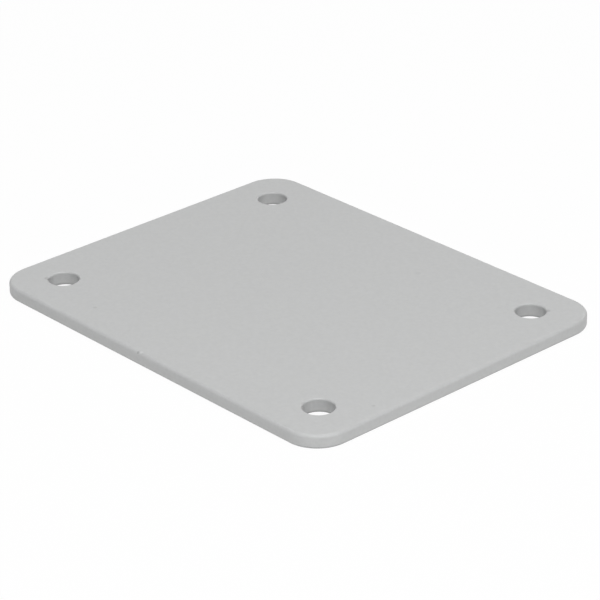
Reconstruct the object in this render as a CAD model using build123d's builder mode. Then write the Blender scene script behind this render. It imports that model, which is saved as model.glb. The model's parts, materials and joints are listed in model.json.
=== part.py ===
"""Rectangular cover plate: one flat steel plate with rounded corners and four bolt holes.

The plate lies on its back face. X runs along the long sides, Y along the short sides and
Z up through the thickness. The origin is the centre of the back face, at z = 0.
"""

from build123d import *
import os

# Driving dimensions, in millimetres, over the finish.

plate_length = 100.0  # long sides, along X
plate_width = 80.0  # short sides, along Y
plate_thickness = 3.0  # along Z
corner_radius = 7.5  # plan radius of the four corners

front_edge_radius = 0.7  # rounding between the front face and the edge wall
back_edge_radius = 0.65  # rounding between the back face and the edge wall

hole_diameter = 6.4  # clearance for an M6 bolt
hole_inset = 10.4  # from the long side and from the short side to a hole's centre
front_rim_radius = 0.4  # rounding of a hole's rim at the front face
back_rim_radius = 0.35  # rounding of a hole's rim at the back face

# The bolt pattern, from the plate's size and the inset of its holes.

hole_pitch_long = plate_length - 2 * hole_inset
hole_pitch_short = plate_width - 2 * hole_inset


# The cover plate: blank, holes, then the roundings of its edges and rims.

with BuildPart() as cover_plate:
    with BuildSketch():
        RectangleRounded(plate_length, plate_width, corner_radius)
    extrude(amount=plate_thickness)

    back_outline = cover_plate.faces().sort_by(Axis.Z)[0].outer_wire().edges()
    front_outline = cover_plate.faces().sort_by(Axis.Z)[-1].outer_wire().edges()
    fillet(back_outline, back_edge_radius)
    fillet(front_outline, front_edge_radius)

    with GridLocations(hole_pitch_long, hole_pitch_short, 2, 2):
        Hole(hole_diameter / 2)

    back_rims = cover_plate.faces().sort_by(Axis.Z)[0].inner_wires().edges()
    fillet(back_rims, back_rim_radius)
    front_rims = cover_plate.faces().sort_by(Axis.Z)[-1].inner_wires().edges()
    fillet(front_rims, front_rim_radius)

cover_plate.part.label = "cover_plate"

os.makedirs("parts", exist_ok=True)
export_step(cover_plate.part, "parts/cover_plate.step")
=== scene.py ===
"""Looks and studio of a rectangular cover plate in powder coated sheet steel.

The plate lies on its back face. X runs along its long sides, Y along its short sides and Z up
through its thickness, in metres, with the origin at the centre of the back face.
"""

import json
import logging
import math
from dataclasses import dataclass
from enum import Enum
from typing import Union

import bpy
from mathutils import Matrix, Vector
from mathutils.geometry import delaunay_2d_cdt


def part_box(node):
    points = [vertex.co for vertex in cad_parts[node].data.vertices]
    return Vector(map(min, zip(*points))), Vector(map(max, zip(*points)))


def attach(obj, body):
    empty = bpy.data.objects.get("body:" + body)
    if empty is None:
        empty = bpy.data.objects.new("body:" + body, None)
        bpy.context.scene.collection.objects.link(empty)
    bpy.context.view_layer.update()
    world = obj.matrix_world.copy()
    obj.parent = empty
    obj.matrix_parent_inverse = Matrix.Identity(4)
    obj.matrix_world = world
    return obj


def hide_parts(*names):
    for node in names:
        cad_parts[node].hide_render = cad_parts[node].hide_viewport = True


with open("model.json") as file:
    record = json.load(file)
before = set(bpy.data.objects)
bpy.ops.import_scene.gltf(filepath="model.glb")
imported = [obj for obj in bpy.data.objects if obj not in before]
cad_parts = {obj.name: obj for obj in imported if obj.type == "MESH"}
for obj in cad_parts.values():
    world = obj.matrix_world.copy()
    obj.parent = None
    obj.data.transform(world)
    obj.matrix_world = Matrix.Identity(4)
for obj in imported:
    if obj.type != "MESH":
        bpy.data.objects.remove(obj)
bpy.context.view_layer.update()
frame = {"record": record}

LOG = logging.getLogger("cover_plate")
NODE = "cover_plate"
BODY = "root"
SLOT = "powder_coat"
MM = 0.001
MICRON = 0.000001
QUARTER_TURN = math.radians(90.0)

# What noise varies about.
NOISE_MIDDLE = 0.5

# How a flat face is filled: triangles over its whole outline, with points nearer to each other
# than the weld, in metres, taken as one.
FILL_OUTLINE = 0
WELD = 1e-9

Colour = tuple[float, float, float]
Setting = Union[str, int, float, bool]
Term = Union["Wire", float]

BLACK: Colour = (0.0, 0.0, 0.0)
WHITE: Colour = (1.0, 1.0, 1.0)

# The signs of X and Y at the plate's corners, anticlockwise from above.
CORNERS = ((-1, -1), (1, -1), (1, 1), (-1, 1))


# Shader graphs


class Wire:
    """One output socket of a shader node, on which Python's operators add nodes."""

    def __init__(self, graph: "Graph", socket: bpy.types.NodeSocket) -> None:
        """Wraps a socket.

        Args:
            graph: The graph that the socket belongs to.
            socket: An output socket.
        """
        self.graph = graph
        self.socket = socket

    def _maths(self, operation: str, *terms: Term) -> "Wire":
        """Adds a Math node.

        Args:
            operation: The node's operation.
            terms: Its inputs, in order.

        Returns:
            The node's result.
        """
        inputs = dict(enumerate(terms))
        return self.graph.add("ShaderNodeMath", {"operation": operation}, inputs)["Value"]

    def __add__(self, other: Term) -> "Wire":
        """The sum of two values."""
        return self._maths("ADD", self, other)

    def __sub__(self, other: Term) -> "Wire":
        """This value less another."""
        return self._maths("SUBTRACT", self, other)

    def __rsub__(self, other: Term) -> "Wire":
        """Another value less this one."""
        return self._maths("SUBTRACT", other, self)

    def __mul__(self, other: Term) -> "Wire":
        """The product of two values."""
        return self._maths("MULTIPLY", self, other)

    __radd__ = __add__
    __rmul__ = __mul__

    def at_most(self, limit: Term) -> "Wire":
        """The smaller of this value and a limit."""
        return self._maths("MINIMUM", self, limit)


class Added:
    """A node that was just added, whose outputs are read by name."""

    def __init__(self, graph: "Graph", node: bpy.types.Node) -> None:
        """Wraps a node.

        Args:
            graph: The graph that the node belongs to.
            node: The node.
        """
        self.graph = graph
        self.node = node

    def __getitem__(self, name: str) -> Wire:
        """The output of that name."""
        return Wire(self.graph, _socket(self.node.outputs, name))


def _socket(sockets: bpy.types.bpy_prop_collection, key: Union[str, int]) -> bpy.types.NodeSocket:
    """Finds a socket by its number, its identifier or its name.

    Args:
        sockets: A node's inputs or outputs.
        key: The number, or the identifier or name.

    Returns:
        The socket. An identifier goes before a name, because names can repeat.
    """
    if isinstance(key, int):
        return sockets[key]
    return next((s for s in sockets if s.identifier == key), None) or sockets[key]


class Graph:
    """The node tree of one material or of the world, filled by Python calls."""

    def __init__(self, owner: Union[bpy.types.Material, bpy.types.World]) -> None:
        """Empties the owner's node tree.

        Args:
            owner: The material or world to give nodes to.
        """
        owner.use_nodes = True
        self.tree = owner.node_tree
        self.tree.nodes.clear()

    def add(self, kind: str, settings: Union[dict[str, Setting], None] = None,
            inputs: Union[dict[Union[str, int], object], None] = None) -> Added:
        """Adds a node, sets it, then fills its input sockets.

        Args:
            kind: The node's Blender type.
            settings: Its properties, set before its sockets.
            inputs: Each socket's name or number, with a value or a wire.

        Returns:
            The new node.
        """
        node = self.tree.nodes.new(kind)
        for name, value in (settings or {}).items():
            setattr(node, name, value)
        for name, value in (inputs or {}).items():
            socket = _socket(node.inputs, name)
            if isinstance(value, Wire):
                self.tree.links.new(value.socket, socket)
            else:
                socket.default_value = value
        return Added(self, node)

    def noise(self, point: Wire, wavelength: float, octaves: float = 1.0) -> Wire:
        """Adds smooth noise in three dimensions.

        Args:
            point: Where the noise is read, in metres.
            wavelength: The distance from one swelling to the next, in metres.
            octaves: How many finer layers are added.

        Returns:
            Values from 0 to 1, about 0.5 on average.
        """
        sizes = {"Vector": point, "Scale": 1.0 / wavelength, "Detail": octaves}
        return self.add("ShaderNodeTexNoise", {"noise_dimensions": "3D"}, sizes)["Fac"]

    def spot(self, point: Wire, centre: tuple[float, float, float],
             radius: float, rim: float) -> Wire:
        """Adds a soft-edged ball that marks what lies inside it.

        Args:
            point: The shaded point, in metres.
            centre: The ball's centre, in metres.
            radius: How far the mark holds, in metres.
            rim: How far it fades past that, in metres.

        Returns:
            1 inside the ball and 0 well outside.
        """
        away = self.add("ShaderNodeVectorMath", {"operation": "DISTANCE"},
                        {"Vector": point, "Vector_001": centre})["Value"]
        return self.ramp(away, (radius, radius + rim), (1.0, 0.0))

    def ramp(self, value: Wire, source: tuple[float, float], target: tuple[float, float]) -> Wire:
        """Maps one range to another along an S curve.

        Args:
            value: What is mapped.
            source: The two ends of the range that it comes from.
            target: What those ends become.

        Returns:
            The mapped value, which never leaves the target range.
        """
        ends = {"Value": value, "From Min": source[0], "From Max": source[1],
                "To Min": target[0], "To Max": target[1]}
        settings = {"interpolation_type": "SMOOTHSTEP"}
        return self.add("ShaderNodeMapRange", settings, ends)["Result"]

    def blend(self, share: Wire, first: Union[Wire, Colour], second: Union[Wire, Colour]) -> Wire:
        """Mixes two colours.

        Args:
            share: How much of the second there is, from 0 to 1.
            first: The colour where the share is 0.
            second: The colour where the share is 1.

        Returns:
            The mixed colour.
        """
        inputs = {"Factor_Float": share, "A_Color": _rgba(first), "B_Color": _rgba(second)}
        return self.add("ShaderNodeMix", {"data_type": "RGBA"}, inputs)["Result_Color"]


def _rgba(colour: Union[Wire, Colour]) -> Union[Wire, tuple[float, float, float, float]]:
    """A colour as a socket takes it, with an alpha of 1 where it is a plain one."""
    return colour if isinstance(colour, Wire) else (*colour, 1.0)


# Finishes


@dataclass(frozen=True)
class Speck:
    """A small round place in the coat that is darker or lighter than the rest: a mark of its own,
    or a painted highlight.

    Attributes:
        place: Its centre, in metres.
        radius: How far it holds before it fades over as much again, in metres.
        shade: What it multiplies the coat's colour by.
    """

    place: tuple[float, float, float]
    radius: float
    shade: float


@dataclass(frozen=True)
class PowderCoat:
    """Light grey satin powder coat, baked on sheet steel.

    Attributes:
        colour: The coat's own colour.
        gloss_roughness: The coat's roughness, on average.
        gloss_swing: How far the roughness moves from the troughs of the orange peel to its crests.
        ior: The refractive index of the coat's resin.
        peel_wavelength: The distance between two swellings of the orange peel, in metres.
        peel_height: How high the orange peel stands, from trough to crest, in metres.
        grain_wavelength: The distance between two grains of the powder, in metres.
        grain_height: How high those grains stand, in metres.
        mottle: How far the colour strays at most, as a share of itself.
        mottle_wavelength: The distance between two darker places, in metres.
        painted_foot_shade: How much painted shade, for the contact shadow, darkens the coat along
            the foot of an edge, as a share of itself.
        foot_start: How high above the back face that painted shade has set in, in metres.
        foot_full: How high above the back face it starts to fade, in metres.
        foot_height: How high above the back face it is gone, in metres.
    """

    colour: Colour = (0.500, 0.505, 0.504)
    gloss_roughness: float = 0.42
    gloss_swing: float = 0.10
    ior: float = 1.5
    peel_wavelength: float = 0.75 * MM
    peel_height: float = 9.0 * MICRON
    grain_wavelength: float = 0.28 * MM
    grain_height: float = 1.2 * MICRON
    mottle: float = 0.05
    mottle_wavelength: float = 0.85 * MM
    painted_foot_shade: float = 0.30
    foot_start: float = 0.065 * MM
    foot_full: float = 0.65 * MM / 3
    foot_height: float = 0.65 * MM

    def material(self, specks: list[Speck]) -> bpy.types.Material:
        """Makes the coat's material.

        Args:
            specks: The small marks in it, one of them a painted highlight.

        Returns:
            The material, named as the record's slot.
        """
        material = bpy.data.materials.new(SLOT)
        graph = Graph(material)
        point = graph.add("ShaderNodeTexCoord")["Object"]
        peel = graph.noise(point, self.peel_wavelength)
        grain = graph.noise(point, self.grain_wavelength)
        height = peel * self.peel_height + grain * self.grain_height
        # The height is in metres, so the bump takes it as it is.
        normal = graph.add("ShaderNodeBump", inputs={"Height": height, "Distance": 1.0})["Normal"]
        dark, light = (tuple(channel * (1.0 + sign * self.mottle) for channel in self.colour)
                       for sign in (-1.0, 1.0))
        colour = graph.blend(graph.noise(point, self.mottle_wavelength), dark, light)
        # Painted shade: the coat's colour is darkened along the foot of every edge and bore,
        # standing in for the contact shadow there.
        colour = graph.blend(self.foot(graph, point) * self.painted_foot_shade, colour, BLACK)
        for speck in specks:
            share = graph.spot(point, speck.place, speck.radius, speck.radius)
            marked = tuple(channel * speck.shade for channel in self.colour)
            colour = graph.blend(share, colour, marked)
        roughness = self.gloss_roughness + self.gloss_swing * (peel - NOISE_MIDDLE)
        coat = graph.add("ShaderNodeBsdfPrincipled", inputs={
            "Base Color": colour, "Roughness": roughness, "Normal": normal, "IOR": self.ior})
        graph.add("ShaderNodeOutputMaterial", inputs={"Surface": coat["BSDF"]})
        return material

    def foot(self, graph: Graph, point: Wire) -> Wire:
        """Marks where the painted shade goes: the foot of every edge, where it curves under to the
        back face.

        Args:
            graph: The graph to add to.
            point: The shaded point, in metres.

        Returns:
            1 along the foot, and 0 above it and on the back face itself.
        """
        height = graph.add("ShaderNodeSeparateXYZ", inputs={"Vector": point})["Z"]
        low = graph.ramp(height, (self.foot_full, self.foot_height), (1.0, 0.0))
        return low * graph.ramp(height, (0.0, self.foot_start), (0.0, 1.0))


@dataclass(frozen=True)
class StudioWhite:
    """The white sweep that the plate lies on.

    Attributes:
        name: What its material is called.
        colour: What the sweep reflects.
        glow: The share of plain white that the camera, and gloss, see in it.
    """

    name: str
    colour: Colour
    glow: float = 0.96

    def material(self) -> bpy.types.Material:
        """Makes the sweep's material, which can't be seen from below.

        Returns:
            The material.
        """
        material = bpy.data.materials.new(self.name)
        graph = Graph(material)
        paint = graph.add("ShaderNodeBsdfDiffuse", inputs={"Color": _rgba(self.colour)})["BSDF"]
        white = graph.add("ShaderNodeEmission", inputs={"Color": _rgba(WHITE)})["Emission"]
        share = seen_share(graph) * self.glow
        front = graph.add("ShaderNodeMixShader", inputs={
            "Fac": share, "Shader": paint, "Shader_001": white})["Shader"]
        clear = graph.add("ShaderNodeBsdfTransparent")["BSDF"]
        below = graph.add("ShaderNodeNewGeometry")["Backfacing"]
        surface = graph.add("ShaderNodeMixShader", inputs={
            "Fac": below, "Shader": front, "Shader_001": clear})["Shader"]
        graph.add("ShaderNodeOutputMaterial", inputs={"Surface": surface})
        return material


def seen_share(graph: Graph) -> Wire:
    """Tells the rays that see a background from those that only carry its light.

    Args:
        graph: The graph to add to.

    Returns:
        1 for a ray from the camera, off gloss or through glass, and 0 for any other.
    """
    path = graph.add("ShaderNodeLightPath")
    seen = path["Is Camera Ray"] + path["Is Glossy Ray"] + path["Is Transmission Ray"]
    return seen.at_most(1.0)


# The plate


class Face(Enum):
    """The two flat faces, each with the Z of the way it looks."""

    FRONT = 1.0
    BACK = -1.0


@dataclass(frozen=True)
class HangMark:
    """Where a hook held the plate by the rim of a bolt hole while its coat was baked.

    Attributes:
        corner: The signs of X and Y at that hole.
        angle: The way from the hole's axis to the mark, in degrees anticlockwise from +X.
        stain_reach: How far from the hole's axis the stain beside the rim lies, in metres.
        stain_radius: How far the stain holds before it fades over as much again, in metres.
        stain: How much darker the stain is, as a share of the coat's colour.
        nick: How far the hook cut into the rim at the front face, in metres.
        half_width: Half of the nick's width along the rim, in degrees.
        depth: How far down the bore the nick reaches, in metres.
    """

    corner: tuple[int, int]
    angle: float
    stain_reach: float
    stain_radius: float
    stain: float
    nick: float = 0.0
    half_width: float = 22.0
    depth: float = 1.5 * MM

    def cut(self, direction: Vector) -> float:
        """How far the nick cuts into the front rim on one side of the hole.

        Args:
            direction: The way from the hole's axis, one unit long.

        Returns:
            The cut, in metres, most at the mark itself.
        """
        off = math.degrees(direction.angle(_heading(self.angle)))
        return self.nick * max(0.0, 1.0 - off / self.half_width)


def _heading(angle: float) -> Vector:
    """The way in plan, one unit long, at an angle in degrees anticlockwise from +X."""
    return Vector((math.cos(math.radians(angle)), math.sin(math.radians(angle))))


@dataclass(frozen=True)
class Row:
    """One row of points around an edge, from the front face to the back face.

    Attributes:
        reach: How far the row lies outside the edge wall, negative inside it, in metres.
        height: Its height above the back face, in metres.
        lean: The angle of its normal from level, upwards, in radians.
    """

    reach: float
    height: float
    lean: float


@dataclass(frozen=True)
class EdgeProfile:
    """The section of an edge wall, with its two roundings.

    Attributes:
        thickness: The plate's thickness, in metres.
        front_radius: The rounding at the front face, in metres.
        back_radius: The rounding at the back face, in metres.
        arc_steps: How many flats each rounding is made of.
        wall_steps: How many flats the wall between them is made of.
    """

    thickness: float
    front_radius: float
    back_radius: float
    arc_steps: int = 10
    wall_steps: int = 4

    def rows(self) -> list[Row]:
        """Works out the section.

        Returns:
            Its rows, from the front face to the back face.
        """
        rows = []
        for step in range(self.arc_steps + 1):
            lean = QUARTER_TURN * (1.0 - step / self.arc_steps)
            rows.append(Row(self.front_radius * (math.cos(lean) - 1.0),
                            self.thickness + self.front_radius * (math.sin(lean) - 1.0), lean))
        wall = self.thickness - self.front_radius - self.back_radius
        for step in range(1, self.wall_steps):
            rows.append(Row(0.0, self.back_radius + wall * (1.0 - step / self.wall_steps), 0.0))
        for step in range(self.arc_steps + 1):
            lean = -QUARTER_TURN * step / self.arc_steps
            rows.append(Row(self.back_radius * (math.cos(lean) - 1.0),
                            self.back_radius * (math.sin(lean) + 1.0), lean))
        return rows


@dataclass(frozen=True)
class Spoke:
    """One point of an edge in plan, as a hub and the way out from it.

    Attributes:
        hub: The centre of curvature, or a point inside a straight side.
        direction: The way from the hub to the edge, one unit long.
        length: How far along it the edge wall lies, in metres.
        cut: How much farther out the front rim lies, in metres.
        cut_depth: How far below the front face that fades away, in metres.
    """

    hub: Vector
    direction: Vector
    length: float
    cut: float = 0.0
    cut_depth: float = 1.0 * MM

    def extra(self, depth: float) -> float:
        """How much farther out the edge lies at a depth below the front face, both in metres."""
        return self.cut * max(0.0, 1.0 - depth / self.cut_depth)


@dataclass
class CoverPlate:
    """A flat plate with rounded corners and a bolt hole near each corner.

    Attributes:
        length: Its long sides, in metres.
        width: Its short sides, in metres.
        thickness: Its thickness, in metres.
        hole_radius: The radius of its bolt holes, in metres.
        hole_pitch: The distances between hole centres along X and along Y, in metres.
        corner_radius: The plan radius of its corners, in metres.
        front_edge: The rounding between the front face and the edge wall, in metres.
        back_edge: The rounding between the back face and the edge wall, in metres.
        front_rim: The rounding of a hole's rim at the front face, in metres.
        back_rim: The rounding of a hole's rim at the back face, in metres.
        corner_steps: How many flats each corner is made of.
        hole_steps: How many flats each bolt hole is made of.
        spacing: The distance between mesh points on the faces, in metres.
        marks: Where it hung.
    """

    length: float
    width: float
    thickness: float
    hole_radius: float
    hole_pitch: tuple[float, float]
    corner_radius: float = 7.5 * MM
    front_edge: float = 0.70 * MM
    back_edge: float = 0.65 * MM
    front_rim: float = 0.40 * MM
    back_rim: float = 0.35 * MM
    corner_steps: int = 24
    hole_steps: int = 144
    spacing: float = 2.0 * MM
    marks: tuple[HangMark, ...] = (
        HangMark(corner=(-1, -1), angle=-137.5, stain_reach=3.55 * MM, stain_radius=0.42 * MM,
                 stain=0.22, nick=0.18 * MM),
        HangMark(corner=(1, 1), angle=45.0, stain_reach=3.56 * MM, stain_radius=0.34 * MM,
                 stain=0.23),
    )

    @classmethod
    def from_frame(cls) -> "CoverPlate":
        """Reads the plate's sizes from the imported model.

        Returns:
            A plate of the model's size, with the bolt pattern of its mount.
        """
        low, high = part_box(NODE)
        size = high - low
        holes = next(m["dims"] for m in frame["record"]["mounts"] if m["kind"] == "bolt_pattern")
        pitch = (holes["spacing_x_mm"] * MM, holes["spacing_y_mm"] * MM)
        return cls(size.x, size.y, size.z, holes["hole_r_mm"] * MM, pitch)

    def outline(self) -> list[Spoke]:
        """The spokes of the outer edge.

        Returns:
            Spokes that point away from the plate, anticlockwise from the front end of the left
            side.
        """
        half = Vector((self.length / 2, self.width / 2)) - Vector((1.0, 1.0)) * self.corner_radius
        spokes = []
        for quarter, signs in enumerate(CORNERS):
            hub = Vector((half.x * signs[0], half.y * signs[1]))
            # The first corner's arc starts at the left side, half a turn from +X.
            start = QUARTER_TURN * (quarter - 2)
            for step in range(self.corner_steps + 1):
                angle = start + QUARTER_TURN * step / self.corner_steps
                spokes.append(Spoke(hub, Vector((math.cos(angle), math.sin(angle))),
                                    self.corner_radius))
            way = Vector((-spokes[-1].direction.y, spokes[-1].direction.x))
            run = 2 * abs(half.dot(Vector((abs(way.x), abs(way.y)))))
            stops = round(run / self.spacing)
            for stop in range(1, stops):
                spokes.append(Spoke(hub + way * (run * stop / stops), spokes[-1].direction,
                                    self.corner_radius))
        return spokes

    def hole_centre(self, corner: tuple[int, int]) -> Vector:
        """The centre in plan of the bolt hole at the corner with those signs of X and Y."""
        across, deep = self.hole_pitch
        return Vector((across / 2 * corner[0], deep / 2 * corner[1]))

    def bore(self, corner: tuple[int, int]) -> list[Spoke]:
        """The spokes of one bolt hole.

        Args:
            corner: The signs of X and Y at the hole.

        Returns:
            Spokes that point away from the hole's axis, anticlockwise.
        """
        centre = self.hole_centre(corner)
        marks = [mark for mark in self.marks if mark.corner == corner]
        depth = max((mark.depth for mark in marks), default=self.thickness)
        spokes = []
        for step in range(self.hole_steps):
            angle = math.tau * step / self.hole_steps
            direction = Vector((math.cos(angle), math.sin(angle)))
            cut = max((mark.cut(direction) for mark in marks), default=0.0)
            spokes.append(Spoke(centre, direction, self.hole_radius, cut, depth))
        return spokes

    def build(self) -> bpy.types.Object:
        """Makes the plate's mesh.

        Returns:
            The plate as an object at the origin.
        """
        skin = Skin()
        edge = EdgeProfile(self.thickness, self.front_edge, self.back_edge)
        hole = EdgeProfile(self.thickness, self.front_rim, self.back_rim)
        outer = skin.wall(self.outline(), edge, outward=True)
        bores = [skin.wall(self.bore(corner), hole, outward=False) for corner in CORNERS]
        rim = max(self.front_rim, self.back_rim)
        grid = self.grid_points(self.hole_radius + rim + self.spacing / 2)
        for face in Face:
            skin.face(outer, bores, grid, face)
        return skin.finish(NODE + "_skin")

    def grid_points(self, clear: float) -> list[Vector]:
        """Evenly spread points on a face, in from its edge and clear of the bolt holes.

        Args:
            clear: How far a point stays from a hole's centre, in metres.

        Returns:
            The points in plan.
        """
        centres = [self.hole_centre(corner) for corner in CORNERS]
        margin = self.front_edge + self.spacing / 2
        columns = round(self.length / self.spacing)
        lines = round(self.width / self.spacing)
        points = []
        for column in range(columns + 1):
            for line in range(lines + 1):
                point = Vector(((column / columns - 0.5) * self.length,
                                (line / lines - 0.5) * self.width))
                away = min((point - centre).length for centre in centres)
                if away > clear and self.inside(point, margin):
                    points.append(point)
        return points

    def inside(self, point: Vector, margin: float) -> bool:
        """Whether a point lies well inside the outline.

        Args:
            point: The point in plan.
            margin: How far in from the edge it has to be, in metres.

        Returns:
            Whether it is at least that far in.
        """
        over_x = abs(point.x) - (self.length / 2 - self.corner_radius)
        over_y = abs(point.y) - (self.width / 2 - self.corner_radius)
        if over_x > 0 and over_y > 0:
            return math.hypot(over_x, over_y) <= self.corner_radius - margin
        return max(over_x, over_y) <= self.corner_radius - margin

    def specks(self) -> list[Speck]:
        """The small marks in the coat.

        Returns:
            A stain where each hook was, three crumbs on the front face, a chip on the edge of the
            front side, and beside it a lighter spot that is a painted highlight of a small nib in
            the coat.
        """
        stains = []
        for mark in self.marks:
            away = _heading(mark.angle) * mark.stain_reach
            place = self.hole_centre(mark.corner) + away
            stains.append(Speck((place.x, place.y, self.thickness), mark.stain_radius,
                                1.0 - mark.stain))
        front, top = -self.width / 2, self.thickness
        crumbs = [Speck((-24.2 * MM, -33.5 * MM, top), 0.28 * MM, 0.87),
                  Speck((46.7 * MM, -21.8 * MM, top), 0.24 * MM, 0.87),
                  Speck((10.8 * MM, 25.6 * MM, top), 0.40 * MM, 0.94)]
        chip = Speck((-2.60 * MM, front + 0.20 * MM, top - 0.20 * MM), 0.20 * MM, 0.72)
        # Painted highlight: a spot lighter than the coat, where a small nib on the front edge
        # catches the light.
        painted_nib_highlight = Speck((-1.88 * MM, front + 0.52 * MM, top - 0.02 * MM), 0.24 * MM, 1.14)
        return stains + crumbs + [chip, painted_nib_highlight]

    def dress(self, piece: bpy.types.Object, coat: PowderCoat) -> None:
        """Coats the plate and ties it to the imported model.

        Args:
            piece: The plate.
            coat: Its finish.
        """
        piece.data.materials.append(coat.material(self.specks()))
        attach(piece, BODY)
        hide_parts(NODE)


class Skin:
    """A closed mesh that is made of edge walls and of flat faces between them."""

    def __init__(self) -> None:
        """Starts an empty skin."""
        self.points: list[Vector] = []
        self.normals: list[Vector] = []
        self.faces: list[tuple[int, ...]] = []

    def point(self, place: Vector, normal: Vector) -> int:
        """Adds a point.

        Args:
            place: Where it is.
            normal: The way that the surface looks there.

        Returns:
            The point's number.
        """
        self.points.append(place)
        self.normals.append(normal)
        return len(self.points) - 1

    def wall(self, spokes: list[Spoke], profile: EdgeProfile, outward: bool) -> list[list[int]]:
        """Adds an edge wall all the way round.

        Args:
            spokes: The wall's points in plan.
            profile: Its section.
            outward: Whether the wall looks away from its hubs, as the outer edge does.

        Returns:
            The numbers of its points, row by row from the front face to the back face.
        """
        side = 1.0 if outward else -1.0
        rings = []
        for row in profile.rows():
            ring = []
            for spoke in spokes:
                extra = spoke.extra(profile.thickness - row.height)
                flat = spoke.hub + spoke.direction * (spoke.length + side * row.reach + extra)
                level = side * math.cos(row.lean) * spoke.direction
                ring.append(self.point(Vector((flat.x, flat.y, row.height)),
                                       Vector((level.x, level.y, math.sin(row.lean)))))
            rings.append(ring)
        for upper, lower in zip(rings, rings[1:]):
            for here in range(len(spokes)):
                after = (here + 1) % len(spokes)
                quad = (upper[here], lower[here], lower[after], upper[after])
                self.faces.append(quad if outward else quad[::-1])
        return rings

    def face(self, outer: list[list[int]], bores: list[list[list[int]]],
             grid: list[Vector], side: Face) -> None:
        """Fills a flat face between the outer edge and the bolt holes.

        Args:
            outer: The rings of the outer edge wall.
            bores: The rings of each bolt hole.
            grid: Points to spread over the face.
            side: Which face this is.
        """
        row = 0 if side is Face.FRONT else -1
        rings = [outer[row]] + [bore[row] for bore in bores]
        height = self.points[outer[row][0]].z
        up = Vector((0.0, 0.0, side.value))
        numbers = [number for ring in rings for number in ring]
        numbers += [self.point(Vector((p.x, p.y, height)), up) for p in grid]
        borders, start = [], 0
        for ring in rings:
            count = len(ring)
            borders += [(start + i, start + (i + 1) % count) for i in range(count)]
            start += count
        flat = [self.points[number].to_2d() for number in numbers]
        triangles = delaunay_2d_cdt(flat, borders, [], FILL_OUTLINE, WELD)[2]
        ring_of = {number: index for index, ring in enumerate(rings[1:]) for number in ring}
        for triangle in triangles:
            corners = tuple(numbers[i] for i in triangle)
            owners = {ring_of.get(number) for number in corners}
            if len(owners) == 1 and None not in owners:
                continue
            self.faces.append(corners if side is Face.FRONT else corners[::-1])

    def finish(self, name: str) -> bpy.types.Object:
        """Turns the skin into an object.

        Args:
            name: The object's name.

        Returns:
            The object, in the scene's collection.
        """
        mesh = bpy.data.meshes.new(name)
        mesh.from_pydata(self.points, [], self.faces)
        mesh.shade_smooth()
        mesh.normals_split_custom_set_from_vertices(self.normals)
        piece = bpy.data.objects.new(name, mesh)
        bpy.context.scene.collection.objects.link(piece)
        return piece


# Studio


@dataclass(frozen=True)
class Viewpoint:
    """Where the camera stands, and its lens.

    Attributes:
        azimuth: Degrees round from the middle of the front side, towards the right side.
        elevation: Degrees above the floor.
        roll: Degrees that the camera tilts, anticlockwise as it looks.
        distance: The distance from the point aimed at, in metres.
        aim: The point aimed at, in metres.
        lens: The focal length, in millimetres.
        frame_width: The width of the frame behind the lens, in millimetres.
        nearest: How near to the camera a thing can be and still show, in metres.
    """

    azimuth: float = 48.01
    elevation: float = 26.18
    roll: float = -1.05
    distance: float = 579.1 * MM
    aim: tuple[float, float, float] = (-1.69 * MM, 3.25 * MM, 0.0)
    lens: float = 165.65
    frame_width: float = 36.0
    nearest: float = 10.0 * MM

    def camera(self) -> bpy.types.Object:
        """Makes the camera and hands it to the scene.

        Returns:
            The camera.
        """
        round_z = math.radians(self.azimuth)
        tilt = math.radians(90.0 - self.elevation)
        turn = (Matrix.Rotation(round_z, 4, "Z") @ Matrix.Rotation(tilt, 4, "X")
                @ Matrix.Rotation(math.radians(self.roll), 4, "Z"))
        back = turn.to_3x3() @ Vector((0.0, 0.0, 1.0))
        camera = bpy.data.objects.new("camera", bpy.data.cameras.new("camera"))
        camera.matrix_world = Matrix.Translation(Vector(self.aim) + back * self.distance) @ turn
        camera.data.lens = self.lens
        camera.data.sensor_width = self.frame_width
        camera.data.clip_start = self.nearest
        bpy.context.scene.collection.objects.link(camera)
        bpy.context.scene.camera = camera
        return camera


@dataclass(frozen=True)
class SoftBox:
    """A square lamp with a wide soft face, aimed at the plate.

    Attributes:
        name: What the lamp is called.
        azimuth: Degrees round from the middle of the front side, towards the right side.
        elevation: Degrees above the floor, negative below it.
        distance: The distance from the plate's middle, in metres.
        size: The length of its sides, in metres.
        power: Its power, in watts.
    """

    name: str
    azimuth: float
    elevation: float
    distance: float
    size: float
    power: float

    def lamp(self) -> bpy.types.Object:
        """Makes the lamp.

        Returns:
            The lamp.
        """
        round_z, up = math.radians(self.azimuth), math.radians(self.elevation)
        back = Vector((math.sin(round_z) * math.cos(up), -math.cos(round_z) * math.cos(up),
                       math.sin(up)))
        data = bpy.data.lights.new(self.name, "AREA")
        data.shape = "SQUARE"
        data.size = self.size
        data.energy = self.power
        lamp = bpy.data.objects.new(self.name, data)
        lamp.location = back * self.distance
        lamp.rotation_mode = "QUATERNION"
        lamp.rotation_quaternion = back.to_track_quat("Z", "Y")
        bpy.context.scene.collection.objects.link(lamp)
        return lamp


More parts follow.
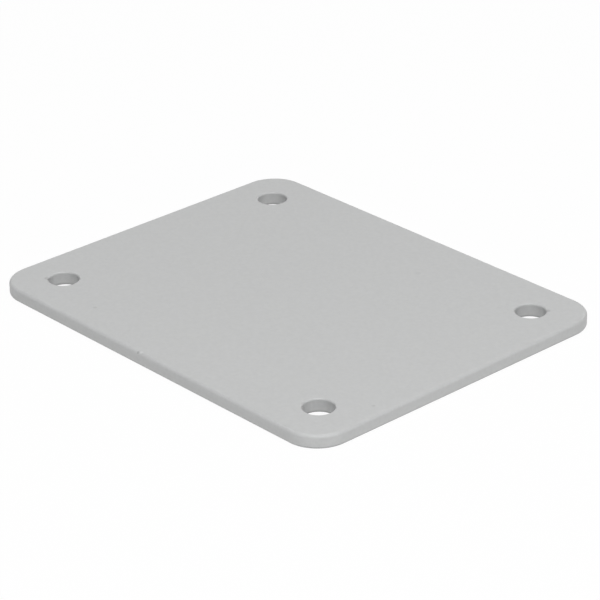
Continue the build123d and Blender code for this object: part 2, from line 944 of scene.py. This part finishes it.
@dataclass(frozen=True)
class Studio:
    """A white sweep, a white room and soft boxes round the plate.

    Attributes:
        lamps: The soft boxes.
        floor_reach: How far the floor runs out past the plate on every side, in metres.
        tuck: How far the floor runs in under the roundings of the back face, as a share of them.
        white: The finish of the floor.
        hole_floor_painted_shade: The floor under the bolt holes, given a darker colour as painted
            shade for the plate's shadow there.
        room_light: The light that the white room gives on every side.
    """

    lamps: tuple[SoftBox, ...]
    floor_reach: float = 4.0
    tuck: float = 0.62
    white: StudioWhite = StudioWhite("studio_white", (0.88, 0.88, 0.88))
    # Painted shade: the floor under the bolt holes is darker than the sweep, for the shadow that
    # the plate throws there.
    hole_floor_painted_shade: StudioWhite = StudioWhite("hole_floor_painted_shade", (0.62, 0.62, 0.62))
    room_light: float = 0.16

    def build(self, plate: CoverPlate) -> None:
        """Makes the floor, the room and the lamps.

        Args:
            plate: The plate that the floor is open under, so that its back face gets light too.
        """
        self.floor(plate)
        self.room()
        for box in self.lamps:
            box.lamp()
            LOG.info("lamp %s: %.2f W", box.name, box.power)

    def floor(self, plate: CoverPlate) -> bpy.types.Object:
        """Makes the floor, open where the flat of the plate's back face would lie on it.

        It is there under each bolt hole, where it throws light up the bore, with a darker colour
        there as painted shade.

        Args:
            plate: The plate that lies on it.

        Returns:
            The floor.
        """
        spokes = plate.outline()
        count = len(spokes)
        points = []
        outer = plate.corner_radius + self.floor_reach
        inner = plate.corner_radius - plate.back_edge * self.tuck
        for reach in (outer, inner):
            points += [(spoke.hub + spoke.direction * reach).to_3d() for spoke in spokes]
        faces = [(i, (i + 1) % count, (i + 1) % count + count, i + count) for i in range(count)]
        round_reach = plate.hole_radius + plate.back_rim * self.tuck
        for corner in CORNERS:
            start = len(points)
            points += [(spoke.hub + spoke.direction * round_reach).to_3d()
                       for spoke in plate.bore(corner)]
            faces.append(tuple(range(start, len(points))))
        mesh = bpy.data.meshes.new("floor")
        mesh.from_pydata(points, [], faces)
        mesh.materials.append(self.white.material())
        mesh.materials.append(self.hole_floor_painted_shade.material())
        # The rounds under the holes come after the ring, and take the second finish, whose darker
        # colour is painted shade.
        for patch in mesh.polygons[count:]:
            patch.material_index = 1
        floor = bpy.data.objects.new("floor", mesh)
        bpy.context.scene.collection.objects.link(floor)
        return floor

    def room(self) -> None:
        """Makes the world: white where it is seen, and a soft light on every side."""
        world = bpy.data.worlds.new("room")
        bpy.context.scene.world = world
        graph = Graph(world)
        seen = graph.add("ShaderNodeBackground", inputs={"Color": _rgba(WHITE)})["Background"]
        light = graph.add("ShaderNodeBackground", inputs={
            "Color": _rgba(WHITE), "Strength": self.room_light})["Background"]
        mixed = graph.add("ShaderNodeMixShader", inputs={
            "Fac": seen_share(graph), "Shader": light, "Shader_001": seen})["Shader"]
        graph.add("ShaderNodeOutputWorld", inputs={"Surface": mixed})


STUDIO = Studio(lamps=(
    SoftBox("key", azimuth=45.0, elevation=50.0, distance=0.68, size=0.51, power=2.80),
    SoftBox("side", azimuth=90.0, elevation=25.0, distance=1.6, size=1.2, power=4.25),
    SoftBox("overhead", azimuth=225.0, elevation=80.0, distance=0.8, size=0.6, power=2.10),
    SoftBox("behind", azimuth=195.0, elevation=50.0, distance=0.8, size=0.6, power=0.40),
    SoftBox("under", azimuth=45.0, elevation=-80.0, distance=0.8, size=0.6, power=2.8),
))


def main() -> None:
    """Builds the plate and its studio, in order."""
    logging.basicConfig(level=logging.INFO, format="%(name)s: %(message)s")
    scene = bpy.context.scene
    scene.view_settings.view_transform = "Standard"
    Viewpoint().camera()
    plate = CoverPlate.from_frame()
    piece = plate.build()
    plate.dress(piece, PowderCoat())
    LOG.info("%s: %d points, %d faces", piece.name, len(piece.data.vertices),
             len(piece.data.polygons))
    STUDIO.build(plate)


if __name__ == "__main__":
    main()
